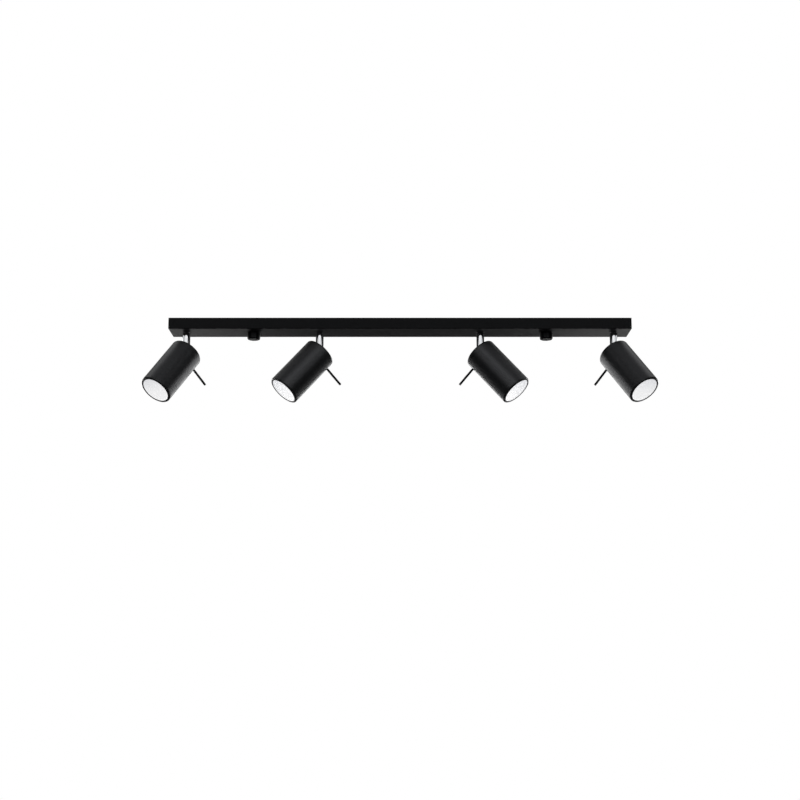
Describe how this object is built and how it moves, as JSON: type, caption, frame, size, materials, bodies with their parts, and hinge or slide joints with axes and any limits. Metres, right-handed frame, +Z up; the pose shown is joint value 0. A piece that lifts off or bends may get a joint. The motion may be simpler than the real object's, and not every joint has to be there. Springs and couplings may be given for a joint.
{
  "type": "ceiling spotlight bar",
  "caption": "Long flat black ceiling canopy with cylindrical spotlight heads on short chrome stems; each head swivels, tilts and has a thin aiming rod.",
  "frame": {"origin": "centre of the ceiling screw slots, in the ceiling plane, at the middle of the bar", "axes": "+Z up into the ceiling, +X along the bar, -Y towards the room"},
  "size_m": [0.881, 0.1051, 0.1482],
  "materials": {
    "black_powder_coat": "fine satin powder coat",
    "black_head_coat": "smooth matte powder coat",
    "black_nut": "satin black",
    "black_ring": "matte black",
    "black_rod": "satin black",
    "chrome_stem": "polished chrome plate",
    "zinc_steel": "zinc-plated sheet",
    "zinc_fastener": "zinc-plated",
    "brass_screw": "plain brass",
    "terminal_plastic": "moulded",
    "nylon_washer": "moulded black nylon",
    "brown_insulation": "extruded",
    "blue_insulation": "extruded",
    "silicone_sleeve": "silicone",
    "socket_ceramic": "unglazed steatite",
    "lamp_reflector": "satin white",
    "lamp_lens": "frosted prismatic"
  },
  "bodies": {
    "bar": {"canopy_housing": "black_powder_coat", "mounting_bracket": "zinc_steel", "bracket_studs": "zinc_fastener", "cap_nuts": "black_nut", "terminal_block": "terminal_plastic", "terminal_screws": "zinc_fastener", "earth_screw": "brass_screw", "live_wires": "brown_insulation", "neutral_wires": "blue_insulation", "swivel_nipples": "zinc_fastener", "swivel_nuts": "zinc_fastener", "swivel_washers": "nylon_washer"},
    "stem_1": {"stem_tube_1": "chrome_stem", "stem_wires_1": "silicone_sleeve"},
    "head_1": {"head_tube_1": "black_head_coat", "rear_cap_1": "black_head_coat", "tilt_bracket_1": "zinc_steel", "pivot_screws_1": "zinc_fastener", "lamp_socket_1": "socket_ceramic", "lamp_body_1": "lamp_reflector", "lamp_lens_1": "lamp_lens", "bezel_ring_1": "black_ring", "aiming_rod_1": "black_rod", "head_wires_1": "silicone_sleeve"},
    "stem_2": {"stem_tube_2": "chrome_stem", "stem_wires_2": "silicone_sleeve"},
    "head_2": {"head_tube_2": "black_head_coat", "rear_cap_2": "black_head_coat", "tilt_bracket_2": "zinc_steel", "pivot_screws_2": "zinc_fastener", "lamp_socket_2": "socket_ceramic", "lamp_body_2": "lamp_reflector", "lamp_lens_2": "lamp_lens", "bezel_ring_2": "black_ring", "aiming_rod_2": "black_rod", "head_wires_2": "silicone_sleeve"},
    "stem_3": {"stem_tube_3": "chrome_stem", "stem_wires_3": "silicone_sleeve"},
    "head_3": {"head_tube_3": "black_head_coat", "rear_cap_3": "black_head_coat", "tilt_bracket_3": "zinc_steel", "pivot_screws_3": "zinc_fastener", "lamp_socket_3": "socket_ceramic", "lamp_body_3": "lamp_reflector", "lamp_lens_3": "lamp_lens", "bezel_ring_3": "black_ring", "aiming_rod_3": "black_rod", "head_wires_3": "silicone_sleeve"},
    "stem_4": {"stem_tube_4": "chrome_stem", "stem_wires_4": "silicone_sleeve"},
    "head_4": {"head_tube_4": "black_head_coat", "rear_cap_4": "black_head_coat", "tilt_bracket_4": "zinc_steel", "pivot_screws_4": "zinc_fastener", "lamp_socket_4": "socket_ceramic", "lamp_body_4": "lamp_reflector", "lamp_lens_4": "lamp_lens", "bezel_ring_4": "black_ring", "aiming_rod_4": "black_rod", "head_wires_4": "silicone_sleeve"}
  },
  "joints": [
    {"name": "swivel_1", "type": "hinge", "parent": "bar", "child": "stem_1", "pos_m": [-0.3725, 0, -0.0195], "axis": [0, 0, 1], "range_deg": [-170, 170]},
    {"name": "tilt_1", "type": "hinge", "parent": "stem_1", "child": "head_1", "pos_m": [-0.3725, 0, -0.0563], "axis": [-0.7133, 0.7009, 0], "range_deg": [-39.6, 26.4]},
    {"name": "swivel_2", "type": "hinge", "parent": "bar", "child": "stem_2", "pos_m": [-0.14, 0, -0.0195], "axis": [0, 0, 1], "range_deg": [-170, 170]},
    {"name": "tilt_2", "type": "hinge", "parent": "stem_2", "child": "head_2", "pos_m": [-0.14, 0, -0.0563], "axis": [-0.3907, 0.9205, 0], "range_deg": [-42.1, 23.9]},
    {"name": "swivel_3", "type": "hinge", "parent": "bar", "child": "stem_3", "pos_m": [0.14, 0, -0.0195], "axis": [0, 0, 1], "range_deg": [-170, 170]},
    {"name": "tilt_3", "type": "hinge", "parent": "stem_3", "child": "head_3", "pos_m": [0.14, 0, -0.0563], "axis": [-0.3907, -0.9205, 0], "range_deg": [-42.2, 23.8]},
    {"name": "swivel_4", "type": "hinge", "parent": "bar", "child": "stem_4", "pos_m": [0.3725, 0, -0.0195], "axis": [0, 0, 1], "range_deg": [-170, 170]},
    {"name": "tilt_4", "type": "hinge", "parent": "stem_4", "child": "head_4", "pos_m": [0.3725, 0, -0.0563], "axis": [-0.7133, -0.7009, 0], "range_deg": [-39.8, 26.2]}
  ]
}
